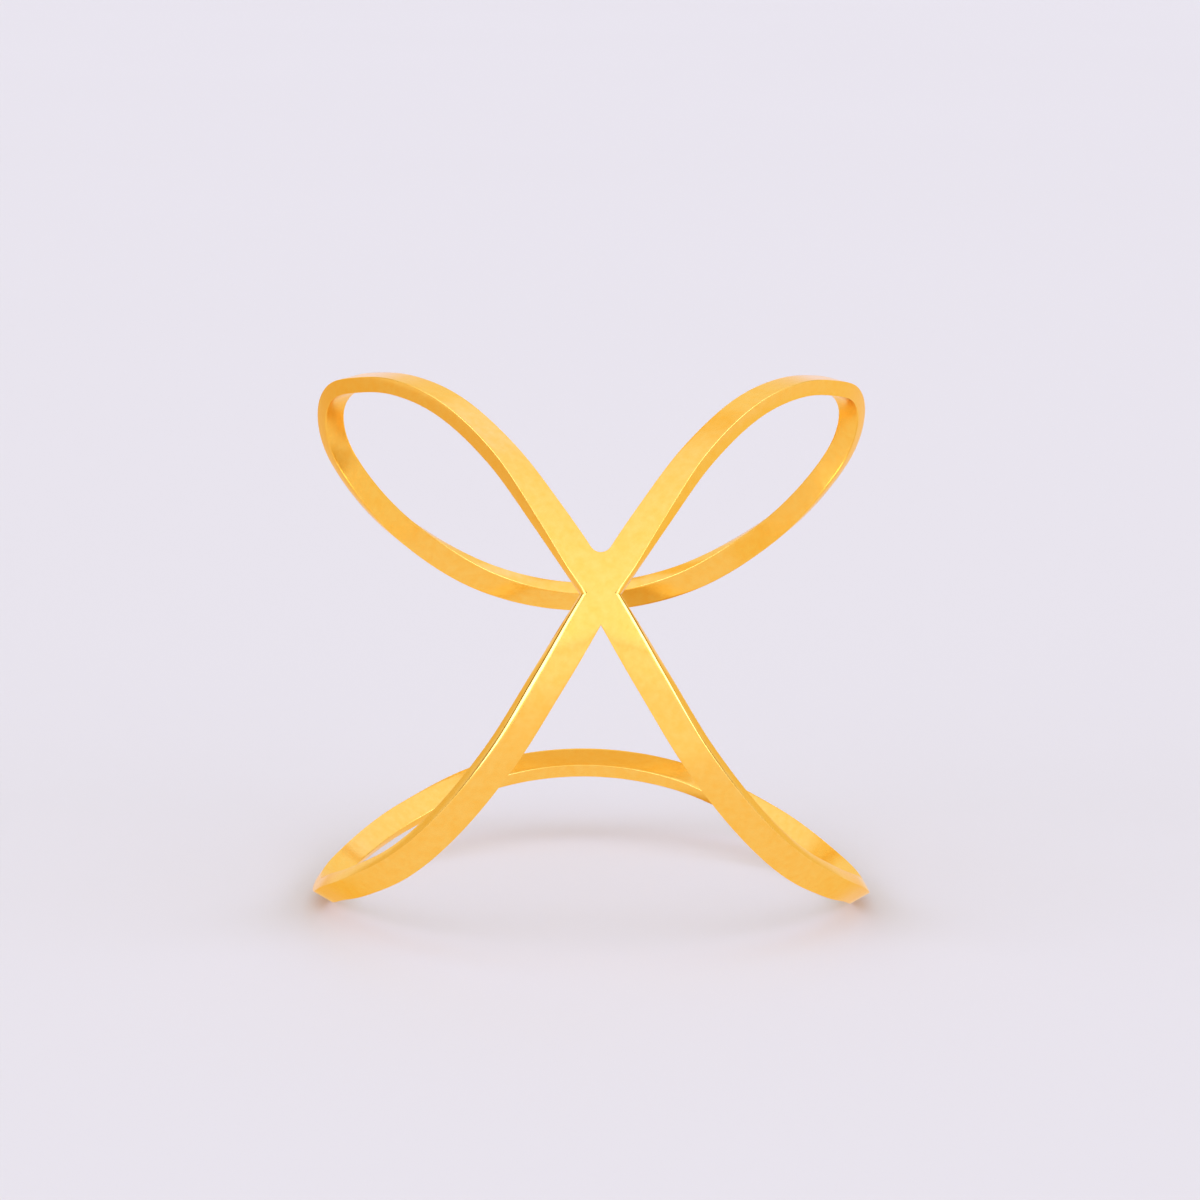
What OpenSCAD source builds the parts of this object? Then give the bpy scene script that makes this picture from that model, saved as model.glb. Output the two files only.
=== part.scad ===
// Crossover ring: one gold band that goes twice round the finger.
// At the front its two turns cross as an X, at the sides they swing far up and
// down to a crest, and at the back they run side by side with a gap between.
// The ring lies on a surface, leaning back until it rests on its two lower crests.

/* [Ring] */
// Clear width of the finger hole
finger_bore = 17.35; // [15:0.05:21]
// Height of the upper turn's crests over the ring's mid-plane
upper_crest = 8.77; // [7.5:0.05:10]
// Depth of the lower turn's crests under the ring's mid-plane
lower_crest = 8.78; // [7.5:0.05:10]
// Height of the crossing over the ring's mid-plane
crossing_rise = 0.37; // [0:0.01:0.8]

/* [Band] */
// Width of the band where its turns cross
band_w = 1.11; // [0.8:0.01:1.5]
// Thickness of the band
band_t = 0.54; // [0.4:0.01:0.8]
// Bevel along the band's four edges
edge_bevel = 0.07; // [0.03:0.01:0.12]

/* [Crossing] */
// Radius of the rounded crotch over the crossing
crotch_r = 0.4; // [0.2:0.05:0.6]

/* [Rest] */
// Angle by which the ring leans back where it lies
rest_lean = 18.5; // [0:0.1:25]

/* [Hidden] */

// One row for each section of the band, by its angle round the finger from the
// crossing. Reach and width are shares of the mid-line's radius and of band_w.
// The rises are shares of the way from the crossing to each turn's crest.
// The tips are the degrees by which the band's face tips up or down.
ANGLE = 0;
REACH = 1;
WIDTH = 2;
UP_RISE = 3;
LOW_RISE = 4;
UP_TIP = 5;
LOW_TIP = 6;
SECTIONS = [
    // angle, reach, width, up_rise, low_rise, up_tip, low_tip
    [0, 1.044, 1.00, 0.000, 0.000, 0, 0],
    [10, 1.026, 0.98, 0.308, 0.303, 32, 31],
    [20, 1.008, 0.97, 0.577, 0.577, 56, 47],
    [32, 0.992, 0.97, 0.792, 0.801, 69, 53],
    [45, 0.981, 0.96, 0.915, 0.941, 75, 53],
    [60, 0.972, 0.89, 0.975, 0.996, 73, 54],
    [75, 0.972, 0.79, 1.000, 1.002, 70, 58],
    [90, 0.984, 0.71, 0.957, 0.988, 58, 60],
    [110, 1.002, 0.72, 0.821, 0.868, 38, 46],
    [135, 0.998, 0.80, 0.578, 0.634, 32, 38],
    [158, 0.989, 0.88, 0.400, 0.443, 49, 44],
    [180, 0.990, 0.97, 0.339, 0.379, 61, 47]
];
last_row = len(SECTIONS) - 1;

// Angle between two sections of the swept band
sweep_step = 2;
// Share of that angle over which a direction is measured
probe = 0.25;
// Bars that fill the crotch before it is rounded
crotch_bars = 8;
// Share of the band's width that the crotch's bars reach into each arm
crotch_root = 0.15;

up_span = upper_crest - crossing_rise;
low_span = lower_crest + crossing_rise;

// Slopes at the crossing, per degree, that carry each turn straight through it
first = SECTIONS[1];
cross_slope = (up_span * first[UP_RISE] + low_span * first[LOW_RISE]) / (2 * first[ANGLE]);
cross_twist = (first[UP_TIP] + first[LOW_TIP]) / (2 * first[ANGLE]);

// Smooth reading of one column of the table
function row_of(a, i = 0) =
    i == last_row - 1 || a < SECTIONS[i + 1][ANGLE] ? i : row_of(a, i + 1);
function row_slope(col, i, start) =
    i == 0 ? start :
    i == last_row ? 0 :
    (SECTIONS[i + 1][col] - SECTIONS[i - 1][col]) / (SECTIONS[i + 1][ANGLE] - SECTIONS[i - 1][ANGLE]);
function read(col, a, start = 0) =
    let (
        i = row_of(a),
        h = SECTIONS[i + 1][ANGLE] - SECTIONS[i][ANGLE],
        u = (a - SECTIONS[i][ANGLE]) / h
    )
    (1 + 2 * u) * pow(1 - u, 2) * SECTIONS[i][col]
    + u * pow(1 - u, 2) * h * row_slope(col, i, start)
    + u * u * (3 - 2 * u) * SECTIONS[i + 1][col]
    + u * u * (u - 1) * h * row_slope(col, i + 1, start);

// A pass starts at the back of the lower turn (-180), goes up through the
// crossing (0) and ends at the back of the upper turn (180)
function from_front(s) = abs(s) > 180 ? 360 - abs(s) : abs(s);
function height(s) =
    s < 0 ?
    crossing_rise - low_span * read(LOW_RISE, from_front(s), cross_slope / low_span) :
    crossing_rise + up_span * read(UP_RISE, from_front(s), cross_slope / up_span);
function tip(s) =
    s < 0 ?
    -read(LOW_TIP, from_front(s), cross_twist) :
    read(UP_TIP, from_front(s), cross_twist);
function face_w(s) = band_w * read(WIDTH, from_front(s));

// Radius of the mid-line, so that the band's closest edge leaves the finger hole clear
function inset(row, col) = band_t / 2 * cos(row[col]) + band_w * row[WIDTH] / 2 * sin(row[col]);
mid_r = max([for (row = SECTIONS) for (col = [UP_TIP, LOW_TIP])
    (finger_bore / 2 + inset(row, col)) / row[REACH]]);
function middle(s) =
    let (r = mid_r * read(REACH, from_front(s)))
    [r * sin(s), -r * cos(s), height(s)];

// Directions along the band, out of its face and across its face
function unit(v) = v / norm(v);
function along(s) = unit(middle(s + probe * sweep_step) - middle(s - probe * sweep_step));
function out_flat(s) =
    let (radial = [sin(s), -cos(s), 0], t = along(s))
    unit(radial - (radial * t) * t);
function across_flat(s) = cross(out_flat(s), along(s));
function out(s) = out_flat(s) * cos(tip(s)) + across_flat(s) * sin(tip(s));
function across(s) = across_flat(s) * cos(tip(s)) - out_flat(s) * sin(tip(s));
function place(s, depth, side) = middle(s) + out(s) * depth + across(s) * side;

// The bevelled section, as eight points in order round it
function section(s) =
    let (
        w = face_w(s) / 2,
        t = band_t / 2,
        w_in = w - edge_bevel,
        t_in = t - edge_bevel
    )
    [
        place(s, t, w_in), place(s, t_in, w),
        place(s, -t_in, w), place(s, -t, w_in),
        place(s, -t, -w_in), place(s, -t_in, -w),
        place(s, t_in, -w), place(s, t, -w_in)
    ];
corners = 8;
stations = [for (s = [-180:sweep_step:180]) s];
pass_points = [for (s = stations) each section(s)];

// Resting place: leaned back, lowest point on the surface, middle over the origin
function leaned(p) = [
    p[0],
    p[1] * cos(rest_lean) + p[2] * sin(rest_lean),
    p[2] * cos(rest_lean) - p[1] * sin(rest_lean)
];
leaned_points = [for (p = pass_points) leaned(p)];
leaned_y = [for (p = leaned_points) p[1]];
rest_shift = -(min(leaned_y) + max(leaned_y)) / 2;
rest_height = -min([for (p = leaned_points) p[2]]);

// Crotch over the crossing: the arms' lean from upright, and where its round ends
arm_lean = atan2(along(0)[0], along(0)[2]);
arm_per_degree = norm(middle(1) - middle(0));
crotch_height = crossing_rise + (band_w / 2 + crotch_r) / sin(arm_lean);
crotch_end = (band_w / 2 + crotch_r) / tan(arm_lean) / arm_per_degree;
crotch_start = band_w / 2 / tan(arm_lean) / arm_per_degree * 0.7;
crotch_step = (crotch_end - crotch_start) / crotch_bars;
reach_front = mid_r * SECTIONS[0][REACH];

module pass() {
    ring_count = len(stations);
    sides = [for (i = [0:ring_count - 2]) for (k = [0:corners - 1])
        let (
            a = i * corners + k,
            b = i * corners + (k + 1) % corners
        )
        each [[a, b, b + corners], [a, b + corners, a + corners]]];
    start_cap = [[for (k = [corners - 1:-1:0]) k]];
    end_cap = [[for (k = [0:corners - 1]) (ring_count - 1) * corners + k]];
    polyhedron(points = pass_points, faces = concat(sides, start_cap, end_cap));
}

// A short bar from one upper arm to the other, just under their faces
module crotch_bar(s) {
    depth = band_t / 2 - edge_bevel;
    pin = edge_bevel / 2;
    side = face_w(s) * (0.5 - crotch_root);
    hull()
        for (angle = [s, s + crotch_step])
            for (d = [-depth, depth])
                for (flip = [0, 1])
                    mirror([flip, 0, 0])
                        translate(place(angle, d, side))
                            cube(pin, center = true);
}

module crotch() {
    difference() {
        for (i = [0:crotch_bars - 1])
            crotch_bar(crotch_start + i * crotch_step);
        translate([0, -reach_front, crotch_height])
            rotate([90, 0, 0])
                cylinder(r = crotch_r, h = 4 * band_t, center = true, $fn = 48);
    }
}

module crossover_band() {
    color([0.93, 0.72, 0.33])
        translate([0, rest_shift, rest_height])
            rotate([-rest_lean, 0, 0]) {
                pass();
                mirror([1, 0, 0])
                    pass();
                crotch();
            }
}

crossover_band();
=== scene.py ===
# Crossover ring: one narrow gold band that goes twice round the finger and
# crosses itself at the front. It stands on a pale floor, leaning back on the two
# crests of its lower turn.
from math import atan2, cos, pi, radians, sin, tan

import bpy
from mathutils import Matrix, Vector


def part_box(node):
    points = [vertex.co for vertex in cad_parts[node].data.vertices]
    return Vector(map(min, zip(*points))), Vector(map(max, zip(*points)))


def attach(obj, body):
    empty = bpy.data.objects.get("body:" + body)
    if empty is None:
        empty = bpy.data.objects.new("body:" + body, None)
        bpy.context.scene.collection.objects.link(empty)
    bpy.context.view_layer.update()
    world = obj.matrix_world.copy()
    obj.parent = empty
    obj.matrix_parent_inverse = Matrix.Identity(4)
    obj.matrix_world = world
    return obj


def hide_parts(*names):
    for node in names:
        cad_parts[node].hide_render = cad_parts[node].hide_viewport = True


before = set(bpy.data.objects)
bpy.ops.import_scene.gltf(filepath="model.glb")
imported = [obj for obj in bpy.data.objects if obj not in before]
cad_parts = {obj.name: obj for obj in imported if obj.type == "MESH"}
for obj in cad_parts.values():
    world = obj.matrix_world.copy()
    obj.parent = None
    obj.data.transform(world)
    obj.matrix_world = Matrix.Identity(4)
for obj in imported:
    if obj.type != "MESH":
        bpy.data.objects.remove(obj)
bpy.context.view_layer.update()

MM = 0.001
BAND_NODE = "crossover_band"

# Sizes of the ring in millimetres, as in the CAD model, and the angle it leans back
FINGER_BORE = 17.35
UPPER_CREST = 8.77
LOWER_CREST = 8.78
CROSSING_RISE = 0.37
BAND_W = 1.11
BAND_T = 0.54
CROTCH_R = 0.40
REST_LEAN = radians(18.5)

# One row for each section of the band, by its angle round the finger from the
# crossing: shares of the mid-line's radius, of the band's width and of the way
# to each turn's crest, and the degrees by which the face tips up or down
COLUMNS = ("angle", "reach", "width", "up_rise", "low_rise", "up_tip", "low_tip")
SECTIONS = [dict(zip(COLUMNS, row)) for row in (
    (0, 1.044, 1.00, 0.000, 0.000, 0, 0),
    (10, 1.026, 0.98, 0.308, 0.303, 32, 31),
    (20, 1.008, 0.97, 0.577, 0.577, 56, 47),
    (32, 0.992, 0.97, 0.792, 0.801, 69, 53),
    (45, 0.981, 0.96, 0.915, 0.941, 75, 53),
    (60, 0.972, 0.89, 0.975, 0.996, 73, 54),
    (75, 0.972, 0.79, 1.000, 1.002, 70, 58),
    (90, 0.984, 0.71, 0.957, 0.988, 58, 60),
    (110, 1.002, 0.72, 0.821, 0.868, 38, 46),
    (135, 0.998, 0.80, 0.578, 0.634, 32, 38),
    (158, 0.989, 0.88, 0.400, 0.443, 49, 44),
    (180, 0.990, 0.97, 0.339, 0.379, 61, 47),
)]
LAST = len(SECTIONS) - 1
UPPER = 1
LOWER = -1
RISE = {UPPER: "up_rise", LOWER: "low_rise"}
TIP = {UPPER: "up_tip", LOWER: "low_tip"}
SPAN = {UPPER: UPPER_CREST - CROSSING_RISE, LOWER: LOWER_CREST + CROSSING_RISE}

# The fine bevel along the band's edges, in millimetres, sharper than the CAD model's
EDGE_BEVEL = 0.02
# The wide polished bevel by the side notches, in millimetres: its width, how far
# down each lower arm it stays full, how far it then fades, and how far it runs up
WIDE_BEVEL = 0.20
BEVEL_FULL_LEFT = 3.4
BEVEL_FULL_RIGHT = 1.4
BEVEL_FADE = 2.6
BEVEL_UP = 0.8
# Strips that each bevel is made of
BEVEL_SEGMENTS = 4
# Surfaces that turn less than this have no corner edge between them
CORNER_TURN = radians(60)
# A wall can have the wide bevel where it faces more sideways than this, out of 1
WALL_SIDEWAYS = 0.3

# How finely the band is meshed: lanes across it, more lanes where the crotch is
# filled, rows along each turn, and rows that ease from the crossing into an arm
LANES = 8
CROTCH_LANES = 3
ROWS = 440
START_ROWS = 16
# The rows go on easing for this many degrees past the crotch's round
EASE_PAST_ROUND = 1.6
# Half the degrees over which the band's direction is measured
PROBE = 0.25
# Points closer than this many millimetres are made one
MERGE_GAP = 0.002
# The middle surface is smoothed fully within the first distance from the crossing,
# and not at all past the second, in millimetres
RELAX_FULL = 1.3
RELAX_NONE = 2.6
# Faces that turn less than this are shaded as one smooth surface
SOFT_TURN = radians(35)

# The band's surfaces, as they are told apart while its edges are worked
SURFACES = ("outer_face", "inner_face", "wall")
OUTER_FACE, INNER_FACE, WALL = range(len(SURFACES))

# Colours of the gold: the deeper and the paler tone, the tint where light grazes
# it, and a painted reflection: the paler colour it is given only where it mirrors itself
GOLD_DEEP = (1.0, 0.545, 0.082)
GOLD_PALE = (1.0, 0.595, 0.120)
GOLD_GRAZED = (1.0, 0.82, 0.50)
GOLD_PAINTED_REFLECTION = (0.92, 0.74, 0.34)

# The floor: its radius in metres, its two tones, the painted glow it shows only
# where the gold mirrors it, and how much that painted glow counts there
FLOOR_RADIUS = 4.0
FLOOR_DEEP = (0.577, 0.527, 0.391)
FLOOR_PALE = (0.587, 0.537, 0.401)
FLOOR_GLOW_IN_GOLD = (0.99, 0.92, 0.92)
FLOOR_GLOW_IN_GOLD_SHARE = 0.85

# Colours of the light from the front and from behind, and those used for two cards
# or for a card and a patch of the floor
FRONT_LIGHT = (1.25, 1.33, 1.68)
BACK_LIGHT = (0.95, 1.00, 1.40)
STRIP_LIGHT = (4.2, 4.5, 8.0)
NOTCH_LIGHT = (4.0, 4.3, 7.5)
DARK_FLAG = (0.18, 0.11, 0.03)
WARM_SHADE = (0.84, 0.66, 0.42)
# A card has its full colour out to this share of its size, and fades from there
CARD_FULL = 0.65

# Cards round the ring: the direction of the centre, half-size, colour
CARDS = {
    "left_wall_shade": ((-0.62, 0.75, 0.22), (0.26, 0.22, 0.20), (0.84, 0.75, 0.60)),
    "right_wall_shade": ((0.62, 0.77, 0.16), (0.26, 0.22, 0.20), (0.90, 0.84, 0.70)),
    "back_right_cool": ((0.36, 0.58, 0.73), (0.30, 0.30, 0.25), (1.02, 1.16, 2.20)),
    "left_low": ((-1.0, 0.12, 0.0), (0.34, 0.50, 0.26), WARM_SHADE),
    "left_notch": ((-0.48, -0.84, 0.28), (0.22, 0.20, 0.24), NOTCH_LIGHT),
    "right_notch": ((0.53, -0.81, 0.27), (0.22, 0.20, 0.24), NOTCH_LIGHT),
    "left_strip": ((-0.66, -0.40, 0.48), (0.36, 0.55, 0.28), STRIP_LIGHT),
    "right_strip": ((0.69, -0.36, 0.46), (0.36, 0.55, 0.28), STRIP_LIGHT),
    "back_shade": ((0.0, 0.40, 0.93), (0.42, 0.26, 0.24), (0.85, 0.68, 0.40)),
    "back_left_warm": ((-0.42, 0.62, 0.67), (0.26, 0.26, 0.22), (0.97, 0.84, 0.55)),
    "left_flag": ((-0.84, 0.33, 0.44), (0.20, 0.36, 0.24), DARK_FLAG),
    "right_flag": ((0.85, 0.37, 0.40), (0.20, 0.36, 0.24), DARK_FLAG),
}

# Patches of painted light and shade in the floor's glow, seen only where the gold mirrors it:
# centre and half-size in metres, colour
FLOOR_GLOW_PATCHES = {
    "front": ((0.0, -0.145, 0.0), (0.20, 0.136, 1.0), (1.22, 1.26, 1.62)),
    "left_shade": ((-0.12, 0.02, 0.0), (0.12, 0.11, 1.0), WARM_SHADE),
    "right_shade": ((0.05, 0.005, 0.0), (0.045, 0.03, 1.0), (0.97, 0.90, 0.65)),
    "front_near": ((-0.012, -0.026, 0.0), (0.016, 0.013, 1.0), (1.12, 1.14, 1.35)),
    # two patches of painted shade inside the ring, seen in the gold
    "inside_left_shade": ((-0.006, -0.0035, 0.0), (0.006, 0.004, 1.0), (0.97, 0.82, 0.45)),
    "inside_right_shade": ((0.0055, 0.010, 0.0), (0.0047, 0.0047, 1.0), (0.68, 0.44, 0.06)),
}

# The photograph's camera: its rise and turn against the ring's own axis, its
# distance and how far it stands to the right and up, in millimetres, and its lens
CAMERA_RISE = radians(-8.6)
CAMERA_TURN = radians(-1.85)
CAMERA_DISTANCE = 152.0
CAMERA_RIGHT = 0.2945
CAMERA_UP = 1.6445
CAMERA_LENS = 128.2


# The band's middle surface, in the ring's own frame

def slope(column, i, start):
    """How fast one column changes at row i, per degree."""
    if i == 0:
        return start
    if i == LAST:
        return 0.0
    step = SECTIONS[i + 1]["angle"] - SECTIONS[i - 1]["angle"]
    return (SECTIONS[i + 1][column] - SECTIONS[i - 1][column]) / step


def read(column, angle, start=0.0):
    """Reads one column smoothly at an angle from the crossing."""
    i = max(k for k in range(LAST) if SECTIONS[k]["angle"] <= angle)
    h = SECTIONS[i + 1]["angle"] - SECTIONS[i]["angle"]
    u = (angle - SECTIONS[i]["angle"]) / h
    return (
        (1 + 2 * u) * (1 - u) ** 2 * SECTIONS[i][column]
        + u * (1 - u) ** 2 * h * slope(column, i, start)
        + u * u * (3 - 2 * u) * SECTIONS[i + 1][column]
        + u * u * (u - 1) * h * slope(column, i + 1, start)
    )


# Slopes at the crossing, per degree, that carry each turn straight through it
FIRST = SECTIONS[1]
CROSS_SLOPE = sum(SPAN[t] * FIRST[RISE[t]] for t in SPAN) / (2 * FIRST["angle"])
CROSS_TWIST = sum(FIRST[TIP[t]] for t in TIP) / (2 * FIRST["angle"])


def middle_radius():
    """The mid-line's radius that leaves the finger hole clear."""
    radii = []
    for row in SECTIONS:
        for column in TIP.values():
            tip = radians(row[column])
            inset = BAND_T / 2 * cos(tip) + BAND_W * row["width"] / 2 * sin(tip)
            radii.append((FINGER_BORE / 2 + inset) / row["reach"])
    return max(radii)


MIDDLE_R = middle_radius()


def from_front(s):
    """The angle from the crossing, by the shorter way round."""
    return 360 - s if s > 180 else s


def middle(turn, s):
    """A point of the mid-line of a turn, s degrees round from the crossing."""
    a = from_front(s)
    r = MIDDLE_R * read("reach", a)
    rise = turn * SPAN[turn] * read(RISE[turn], a, CROSS_SLOPE / SPAN[turn])
    return Vector((r * sin(radians(s)), -r * cos(radians(s)), CROSSING_RISE + rise))


def directions(turn, s):
    """Unit vectors out of the band's face and across it."""
    along = (middle(turn, s + PROBE) - middle(turn, max(s - PROBE, 0.0))).normalized()
    radial = Vector((sin(radians(s)), -cos(radians(s)), 0.0))
    out_flat = (radial - radial.dot(along) * along).normalized()
    across_flat = out_flat.cross(along)
    tip = turn * radians(read(TIP[turn], from_front(s), CROSS_TWIST))
    out = out_flat * cos(tip) + across_flat * sin(tip)
    across = across_flat * cos(tip) - out_flat * sin(tip)
    return out, across


def on_band(turn, s, side):
    """A point of the middle surface, side millimetres across from the mid-line."""
    across = directions(turn, s)[1]
    return middle(turn, s) + across * side


def half_width(s):
    """Half of the band's width, s degrees round from the crossing."""
    return BAND_W / 2 * read("width", from_front(s))


# The crossing, laid out flat: the arms' lean from upright, millimetres along an
# arm for each degree round the finger, and half of the band's width
ARM_START = middle(UPPER, 0.5) - middle(UPPER, 0.0)
ARM_LEAN = atan2(ARM_START.x, ARM_START.z)
PER_DEGREE = (middle(UPPER, 1.0) - middle(UPPER, 0.0)).length
HALF = BAND_W / 2
# Degrees along an arm to its side notch, to its crotch, to the end of the crotch's
# round and to the last row that eases
NOTCH = HALF * tan(ARM_LEAN) / PER_DEGREE
CROTCH = HALF / tan(ARM_LEAN) / PER_DEGREE
ROUND_END = (HALF + CROTCH_R) / tan(ARM_LEAN) / PER_DEGREE
EASE_END = ROUND_END + EASE_PAST_ROUND
# Height of the round's centre over the crossing, in millimetres
ROUND_CENTRE = (HALF + CROTCH_R) / sin(ARM_LEAN)
# Height of the side notches over the ring's mid-plane, in millimetres
NOTCH_HEIGHT = on_band(UPPER, NOTCH, -HALF).z


def crotch_point(height):
    """Place on the right upper arm of a point straight over the crossing."""
    return height * cos(ARM_LEAN) / PER_DEGREE, height * sin(ARM_LEAN)


def round_point(share):
    """Place on the right upper arm of a point of the crotch's round."""
    a = -pi / 2 + share * (pi / 2 - ARM_LEAN)
    x = CROTCH_R * cos(a)
    z = ROUND_CENTRE + CROTCH_R * sin(a)
    s = (x * sin(ARM_LEAN) + z * cos(ARM_LEAN)) / PER_DEGREE
    return s, z * sin(ARM_LEAN) - x * cos(ARM_LEAN)


def start_places(turn):
    """The first row of a turn: from the side notch to its crotch, then up the web."""
    row = []
    for k in range(LANES + 1):
        share = k / LANES
        row.append((NOTCH + share * (CROTCH - NOTCH), turn * (2 * share - 1) * HALF))
    if turn == UPPER:
        low = HALF / sin(ARM_LEAN)
        high = ROUND_CENTRE - CROTCH_R
        for k in range(1, CROTCH_LANES + 1):
            row.append(crotch_point(low + (high - low) * k / CROTCH_LANES))
    return row


def lane_side(turn, k, count):
    """Where lane k lies across the band, as a share of its half width."""
    return turn * (2 * k / (count - 1) - 1)


def follow_round(row, share):
    """Lays the row's last lane on the crotch's round, then on the arm's edge."""
    start = round_point(0)[0]
    round_share = (ROUND_END - start) / (EASE_END - start)
    if share < round_share:
        s, side = round_point(share / round_share)
    else:
        s = ROUND_END + (EASE_END - ROUND_END) * (share - round_share) / (1 - round_share)
        side = half_width(s)
    last = len(row) - 1
    shift_s = s - row[last][0]
    shift_side = side - row[last][1]
    eased = []
    for k, place in enumerate(row):
        pull = (k / last) ** 2
        eased.append((place[0] + shift_s * pull, place[1] + shift_side * pull))
    return eased


def arm_places(turn):
    """Rows of places (degrees round, millimetres across) for half of one turn."""
    first = start_places(turn)
    count = len(first)
    rows = [first]
    for i in range(1, START_ROWS + 1):
        share = i / START_ROWS
        row = []
        for k, (s0, side0) in enumerate(first):
            side1 = lane_side(turn, k, count) * half_width(EASE_END)
            row.append((s0 + share * (EASE_END - s0), side0 + share * (side1 - side0)))
        if turn == UPPER:
            row = follow_round(row, share)
        rows.append(row)
    rest = ROWS // 2 - START_ROWS
    for i in range(1, rest + 1):
        s = EASE_END + (180 - EASE_END) * i / rest
        wide = half_width(s)
        rows.append([(s, lane_side(turn, k, count) * wide) for k in range(count)])
    return rows


def turn_points(turn):
    """Rows of points for a whole turn, from the right arm round to the left one."""
    half = [[on_band(turn, s, side) for s, side in row] for row in arm_places(turn)]
    # where the two halves meet, at the crotch and at the back, x is exactly 0
    for point in half[0][LANES:] + half[-1]:
        point.x = 0.0
    mirrored = [[Vector((-p.x, p.y, p.z)) for p in row] for row in reversed(half[:-1])]
    return half + mirrored


def crossing_points(upper, lower):
    """The patch where the two turns cross, between the four arms' first rows."""
    right_up = upper[0][:LANES + 1]
    right_low = lower[0][:LANES + 1]
    left_up = [Vector((-p.x, p.y, p.z)) for p in right_up]
    left_low = [Vector((-p.x, p.y, p.z)) for p in right_low]
    rows = []
    for i in range(LANES + 1):
        q = i / LANES
        row = []
        for k in range(LANES + 1):
            p = k / LANES
            # a blend of the patch's four sides, less the corners, which count twice
            corners = (
                (1 - p) * (1 - q) * right_low[LANES]
                + p * (1 - q) * right_up[0]
                + (1 - p) * q * left_up[0]
                + p * q * right_up[LANES]
            )
            row.append(
                (1 - q) * right_low[LANES - k] + q * left_up[k]
                + (1 - p) * left_low[LANES - i] + p * right_up[i] - corners
            )
        rows.append(row)
    return rows


# Where the ring stands: leaned back, its lowest point on the floor, its box over
# the origin

def lean(point):
    """Leans a point or a direction back about the crosswise axis."""
    return Matrix.Rotation(-REST_LEAN, 3, "X") @ point


def rest_shift():
    """The shift, in millimetres, that brings the leaned band into the CAD node's box."""
    low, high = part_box(BAND_NODE)
    thick = BAND_T / 2
    ys, zs = [], []
    for turn in (UPPER, LOWER):
        for s in range(181):
            out, across = directions(turn, float(s))
            wide = half_width(s)
            for side in (-1, 1):
                for depth in (-1, 1):
                    for w, t in ((wide - EDGE_BEVEL, thick), (wide, thick - EDGE_BEVEL)):
                        corner = across * side * w + out * depth * t
                        p = lean(middle(turn, float(s)) + corner)
                        ys.append(p.y)
                        zs.append(p.z)
    middle_y = (low.y + high.y) / 2 / MM
    return Vector((0.0, middle_y - (min(ys) + max(ys)) / 2, low.z / MM - min(zs)))


REST_SHIFT = rest_shift()


def settle(point):
    """From the ring's own frame to where the ring stands, in metres."""
    return (lean(point) + REST_SHIFT) * MM


def unsettle(point):
    """Back into the ring's own frame, in millimetres."""
    return Matrix.Rotation(REST_LEAN, 3, "X") @ (point / MM - REST_SHIFT)


# Making the band

def sheet_from(name, rows):
    """A grid primitive laid on rows of points."""
    bpy.ops.object.select_all(action="DESELECT")
    along = len(rows) - 1
    across = len(rows[0]) - 1
    bpy.ops.mesh.primitive_grid_add(x_subdivisions=along, y_subdivisions=across, size=2)
    sheet = bpy.context.object
    sheet.name = name
    for vertex in sheet.data.vertices:
        i = round((vertex.co.x + 1) / 2 * along)
        k = round((vertex.co.y + 1) / 2 * across)
        vertex.co = settle(rows[i][k])
    return sheet


def merge_points():
    """Merges the active piece's points where they lie on each other."""
    bpy.ops.object.mode_set(mode="EDIT")
    bpy.ops.mesh.select_all(action="SELECT")
    bpy.ops.mesh.remove_doubles(threshold=MERGE_GAP * MM)
    bpy.ops.object.mode_set(mode="OBJECT")


def turn_faces_out():
    """Turns the active piece's faces outwards."""
    bpy.ops.object.mode_set(mode="EDIT")
    bpy.ops.mesh.select_all(action="SELECT")
    bpy.ops.mesh.normals_make_consistent(inside=False)
    bpy.ops.object.mode_set(mode="OBJECT")


def middle_sheet():
    """The band's middle surface: two turns and the patch where they cross, in one."""
    upper = turn_points(UPPER)
    lower = turn_points(LOWER)
    # a notch is one corner, shared by an upper and a lower arm
    for a, b in ((upper[0][0], lower[0][0]), (upper[-1][0], lower[-1][0])):
        shared = (a + b) / 2
        a[:] = shared
        b[:] = shared
    sheets = [
        sheet_from("upper_turn", upper),
        sheet_from("lower_turn", lower),
        sheet_from("crossing", crossing_points(upper, lower)),
    ]
    bpy.ops.object.select_all(action="DESELECT")
    for sheet in sheets:
        sheet.select_set(True)
    band = sheets[0]
    bpy.context.view_layer.objects.active = band
    bpy.ops.object.join()
    band.name = "gold_band"
    merge_points()
    turn_faces_out()
    return band


def relax_crossing(band):
    """Smooths the middle surface round the crossing, with its edges held."""
    centre = settle(middle(UPPER, 0.0))
    reach_full = RELAX_FULL * MM
    reach_none = RELAX_NONE * MM
    edge_use = {}
    for face in band.data.polygons:
        for key in face.edge_keys:
            edge_use[key] = edge_use.get(key, 0) + 1
    rim = {v for key, used in edge_use.items() if used == 1 for v in key}
    group = band.vertex_groups.new(name="crossing")
    for vertex in band.data.vertices:
        away = (vertex.co - centre).length
        if vertex.index not in rim and away < reach_none:
            weight = min(1.0, (reach_none - away) / (reach_none - reach_full))
            group.add([vertex.index], weight, "REPLACE")
    relax = band.modifiers.new("relax", "SMOOTH")
    relax.factor = 0.5
    relax.iterations = 30
    relax.vertex_group = group.name
    bpy.ops.object.modifier_apply(modifier=relax.name)
    band.vertex_groups.clear()


def thicken(band):
    """Gives the middle surface its thickness, with faces and walls told apart."""
    for name in SURFACES:
        band.data.materials.append(bpy.data.materials.new(name))
    thick = band.modifiers.new("thickness", "SOLIDIFY")
    thick.thickness = BAND_T * MM
    thick.offset = 0.0
    thick.use_even_offset = True
    thick.material_offset = INNER_FACE
    thick.material_offset_rim = WALL
    bpy.ops.object.modifier_apply(modifier=thick.name)


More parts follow.
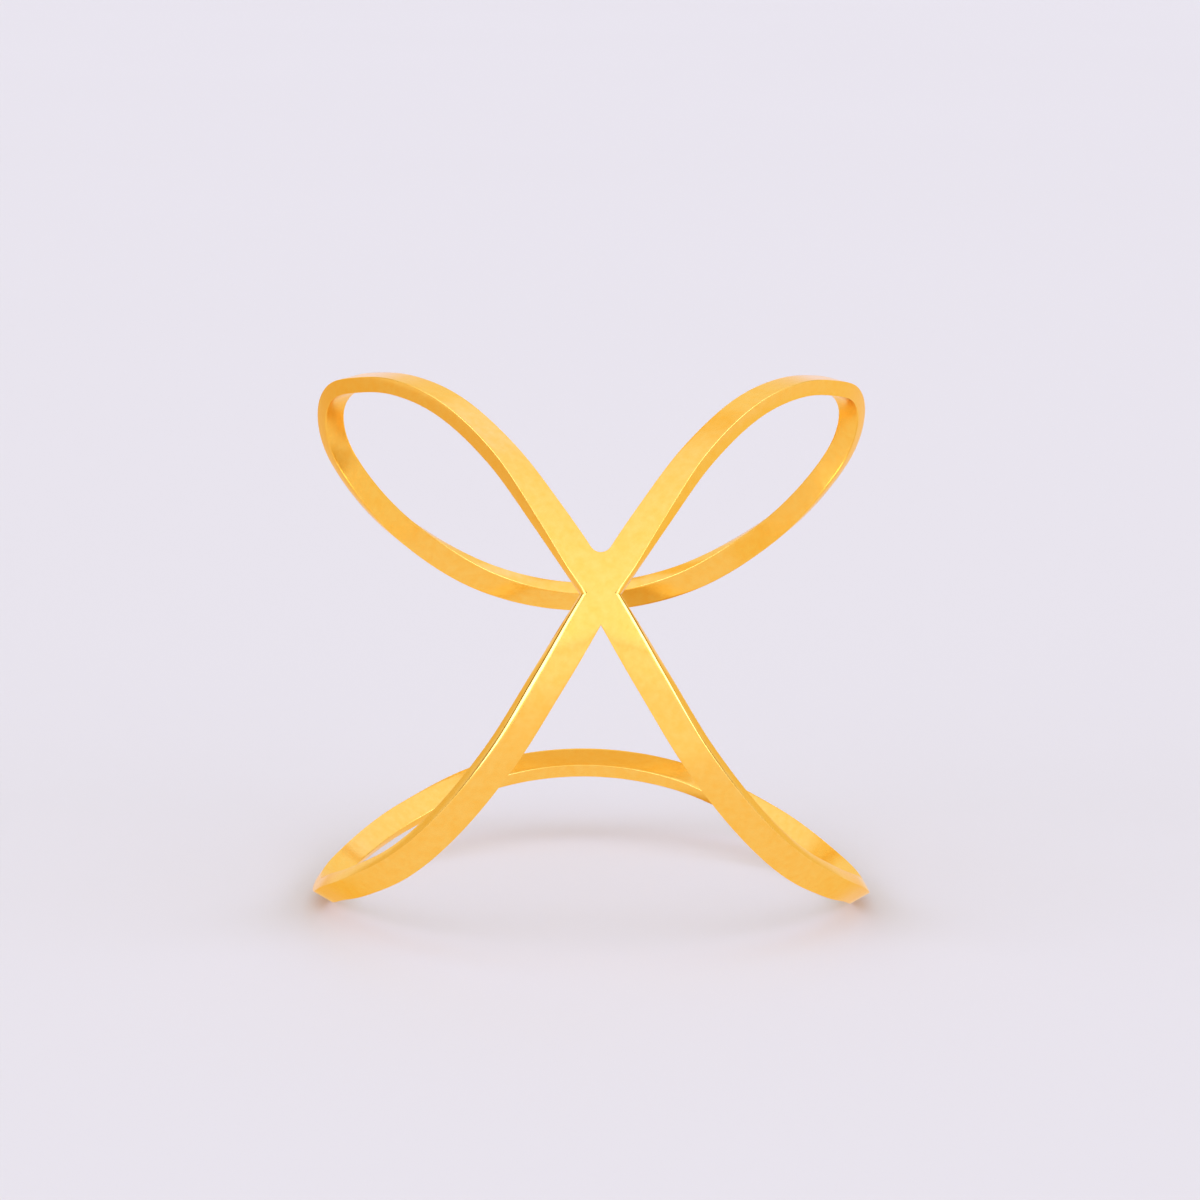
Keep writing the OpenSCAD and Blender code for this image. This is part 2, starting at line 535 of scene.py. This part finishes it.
def wide_share(spot, wall):
    """How much of the wide bevel an outer edge has, from 0 to 1, at a spot."""
    sideways = wall.normal.x * (1 if spot.x > 0 else -1)
    if sideways <= WALL_SIDEWAYS or spot.y >= 0:
        return 0.0
    down = NOTCH_HEIGHT - spot.z
    if down > 0:
        full = BEVEL_FULL_RIGHT if spot.x > 0 else BEVEL_FULL_LEFT
        fade = 1 - (down - full) / BEVEL_FADE
    else:
        fade = 1 + down / BEVEL_UP
    return min(1.0, max(0.0, fade))


def weigh_edges(band):
    """Gives each corner edge its share of the widest bevel.

    The edges round the side notches and down the lower arms' outer sides are
    polished to a wide bevel. It fades out down the arm, and up the upper arm.
    """
    mesh = band.data
    faces_of = {}
    for face in mesh.polygons:
        for key in face.edge_keys:
            faces_of.setdefault(key, []).append(face)
    weight = mesh.attributes.new("bevel_weight_edge", "FLOAT", "EDGE")
    fine = EDGE_BEVEL / WIDE_BEVEL
    for edge in mesh.edges:
        first, second = faces_of[edge.key]
        if first.normal.dot(second.normal) > cos(CORNER_TURN):
            continue
        share = fine
        if OUTER_FACE in (first.material_index, second.material_index):
            start, end = (mesh.vertices[i].co for i in edge.key)
            wall = first if first.material_index == WALL else second
            share += (1 - fine) * wide_share(unsettle((start + end) / 2), wall)
        weight.data[edge.index].value = share


def bevel_edges(band):
    """Bevels the corner edges, wide by the notches and fine elsewhere."""
    weigh_edges(band)
    edge = band.modifiers.new("edges", "BEVEL")
    edge.width = WIDE_BEVEL * MM
    edge.segments = BEVEL_SEGMENTS
    edge.limit_method = "WEIGHT"
    edge.use_clamp_overlap = False
    bpy.ops.object.modifier_apply(modifier=edge.name)


def forget_surfaces(band):
    """Takes away the materials that told the band's surfaces apart."""
    for face in band.data.polygons:
        face.material_index = 0
    markers = list(band.data.materials)
    band.data.materials.clear()
    for marker in markers:
        bpy.data.materials.remove(marker)


def make_band():
    """The whole ring: its middle surface, given a thickness and bevelled."""
    band = middle_sheet()
    relax_crossing(band)
    thicken(band)
    bevel_edges(band)
    turn_faces_out()
    bpy.ops.object.shade_smooth_by_angle(angle=SOFT_TURN)
    forget_surfaces(band)
    return band


# Nodes that the materials and the light are put together from

def node_in(tree, kind, **sockets):
    """A new node with some of its inputs set."""
    node = tree.nodes.new(kind)
    for name, value in sockets.items():
        node.inputs[name.replace("_", " ")].default_value = value
    return node


def noise(tree, place, scale, detail, roughness=0.5):
    """The value of a cloudy pattern at a place."""
    node = node_in(tree, "ShaderNodeTexNoise", Scale=scale, Detail=detail, Roughness=roughness)
    tree.links.new(place, node.inputs["Vector"])
    return node.outputs["Fac"]


def ramp(tree, value, deep, pale, start=0.0, end=1.0):
    """A colour between two, by a value."""
    node = tree.nodes.new("ShaderNodeValToRGB")
    for stop, position, colour in zip(node.color_ramp.elements, (start, end), (deep, pale)):
        stop.position = position
        stop.color = (*colour, 1.0)
    tree.links.new(value, node.inputs["Fac"])
    return node.outputs["Color"]


def mixed(tree, share, first, second):
    """Two colours mixed by a share. Each is a plain colour or a node's output."""
    node = tree.nodes.new("ShaderNodeMix")
    node.data_type = "RGBA"
    tree.links.new(share, node.inputs["Factor"])
    for name, colour in (("A", first), ("B", second)):
        if isinstance(colour, tuple):
            node.inputs[name].default_value = (*colour, 1.0)
        else:
            tree.links.new(colour, node.inputs[name])
    return node.outputs["Result"]


def bumps(tree, height, strength, depth, under=None):
    """Relief in the shading, laid over other relief where there is some."""
    node = node_in(tree, "ShaderNodeBump", Strength=strength, Distance=depth)
    tree.links.new(height, node.inputs["Height"])
    if under is not None:
        tree.links.new(under, node.inputs["Normal"])
    return node.outputs["Normal"]


def vector_step(tree, operation, first, second=(0.0, 0.0, 0.0)):
    """One operation on a place, such as a difference or a length. Gives its outputs."""
    node = tree.nodes.new("ShaderNodeVectorMath")
    node.operation = operation
    tree.links.new(first, node.inputs[0])
    node.inputs[1].default_value = second
    return node.outputs


def add_cards(tree, place, light, cards):
    """Soft-edged cards of light and shade, each laid over the ones before it."""
    for centre, size, colour in cards.values():
        apart = vector_step(tree, "SUBTRACT", place, centre)["Vector"]
        scaled = vector_step(tree, "DIVIDE", apart, size)["Vector"]
        away = vector_step(tree, "LENGTH", scaled)["Value"]
        edge = node_in(tree, "ShaderNodeMapRange", From_Min=1.0, From_Max=CARD_FULL)
        edge.interpolation_type = "SMOOTHSTEP"
        tree.links.new(away, edge.inputs["Value"])
        light = mixed(tree, edge.outputs["Result"], light, colour)
    return light


# Materials. A pattern's scale is in repeats per metre, so 3600 gives clouds of 0.3 mm.

def polished_gold():
    """Yellow gold: polished, with a slight change of tone, a fine grain and soft waves."""
    material = bpy.data.materials.new("polished_gold")
    material.use_nodes = True
    tree = material.node_tree
    link = tree.links.new
    shader = tree.nodes["Principled BSDF"]
    shader.inputs["Metallic"].default_value = 1.0
    shader.inputs["Specular Tint"].default_value = (*GOLD_GRAZED, 1.0)
    place = tree.nodes.new("ShaderNodeTexCoord").outputs["Object"]

    tone = noise(tree, place, scale=3600.0, detail=3.0, roughness=0.6)
    colour = ramp(tree, tone, GOLD_DEEP, GOLD_PALE, start=0.30, end=0.70)
    # painted reflection: where the gold is seen in its own mirror image it is given a paler
    # yellow, so it doesn't turn orange there
    ray = tree.nodes.new("ShaderNodeLightPath")
    colour = mixed(tree, ray.outputs["Is Glossy Ray"], colour, GOLD_PAINTED_REFLECTION)
    link(colour, shader.inputs["Base Color"])

    grain = noise(tree, place, scale=9000.0, detail=4.0, roughness=0.6)
    rough = node_in(tree, "ShaderNodeMapRange", To_Min=0.12, To_Max=0.22)
    link(grain, rough.inputs["Value"])
    link(rough.outputs["Result"], shader.inputs["Roughness"])

    wave = noise(tree, place, scale=900.0, detail=1.5)
    soft = bumps(tree, wave, strength=0.22, depth=0.02 * MM)
    fine = bumps(tree, grain, strength=0.30, depth=0.004 * MM, under=soft)
    link(fine, shader.inputs["Normal"])
    return material


def pale_floor():
    """A matt, pale floor that glows with painted light and shade, brighter and in patches,
    where the gold mirrors it.
    """
    material = bpy.data.materials.new("pale_floor")
    material.use_nodes = True
    tree = material.node_tree
    link = tree.links.new
    shader = tree.nodes["Principled BSDF"]
    shader.inputs["Roughness"].default_value = 0.9
    shader.inputs["Specular IOR Level"].default_value = 0.1
    place = tree.nodes.new("ShaderNodeTexCoord").outputs["Object"]
    cloud = noise(tree, place, scale=6.0, detail=2.0)
    link(ramp(tree, cloud, FLOOR_DEEP, FLOOR_PALE), shader.inputs["Base Color"])

    # painted reflection: the floor glows, brighter and in patches of painted light and shade,
    # only in rays mirrored off the gold
    glow = tree.nodes.new("ShaderNodeEmission")
    link(add_cards(tree, place, FLOOR_GLOW_IN_GOLD, FLOOR_GLOW_PATCHES), glow.inputs["Color"])
    ray = tree.nodes.new("ShaderNodeLightPath")
    share = tree.nodes.new("ShaderNodeMath")
    share.operation = "MULTIPLY"
    link(ray.outputs["Is Glossy Ray"], share.inputs[0])
    share.inputs[1].default_value = FLOOR_GLOW_IN_GOLD_SHARE
    mix = tree.nodes.new("ShaderNodeMixShader")
    link(share.outputs["Value"], mix.inputs["Fac"])
    link(shader.outputs["BSDF"], mix.inputs[1])
    link(glow.outputs["Emission"], mix.inputs[2])
    link(mix.outputs["Shader"], tree.nodes["Material Output"].inputs["Surface"])
    return material


# Floor, light and camera

def make_floor():
    """A round sheet of the pale floor, under the ring."""
    bpy.ops.object.select_all(action="DESELECT")
    bpy.ops.mesh.primitive_circle_add(vertices=96, radius=FLOOR_RADIUS, fill_type="NGON")
    floor = bpy.context.object
    floor.name = "floor"
    floor.data.materials.append(pale_floor())


def studio_light():
    """Soft light from all round, brighter from the front than from behind, and cards."""
    world = bpy.data.worlds.new("studio")
    bpy.context.scene.world = world
    world.use_nodes = True
    tree = world.node_tree
    direction = tree.nodes.new("ShaderNodeTexCoord").outputs["Generated"]
    split = tree.nodes.new("ShaderNodeSeparateXYZ")
    tree.links.new(direction, split.inputs["Vector"])
    depth = node_in(tree, "ShaderNodeMapRange", From_Min=-1.0)
    tree.links.new(split.outputs["Y"], depth.inputs["Value"])
    light = mixed(tree, depth.outputs["Result"], FRONT_LIGHT, BACK_LIGHT)
    light = add_cards(tree, direction, light, CARDS)
    tree.links.new(light, tree.nodes["Background"].inputs["Color"])


def make_camera():
    """The photograph's camera, placed against the ring's own frame."""
    turned = Matrix.Rotation(CAMERA_TURN, 3, "Z")
    right = turned @ Vector((1.0, 0.0, 0.0))
    up = turned @ Vector((0.0, sin(CAMERA_RISE), cos(CAMERA_RISE)))
    back = turned @ Vector((0.0, -cos(CAMERA_RISE), sin(CAMERA_RISE)))
    place = right * CAMERA_RIGHT + up * CAMERA_UP + back * CAMERA_DISTANCE
    axes = Matrix((lean(right), lean(up), lean(back))).transposed()
    data = bpy.data.cameras.new("camera")
    data.lens = CAMERA_LENS
    data.sensor_width = 36.0
    data.clip_start = 0.001
    data.clip_end = 20.0
    camera = bpy.data.objects.new("camera", data)
    bpy.context.scene.collection.objects.link(camera)
    camera.matrix_world = Matrix.Translation(settle(place)) @ axes.to_4x4()
    bpy.context.scene.camera = camera


band = make_band()
band.data.materials.append(polished_gold())
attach(band, "root")
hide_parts(BAND_NODE)
make_floor()
studio_light()
make_camera()
bpy.context.scene.view_settings.view_transform = "Standard"
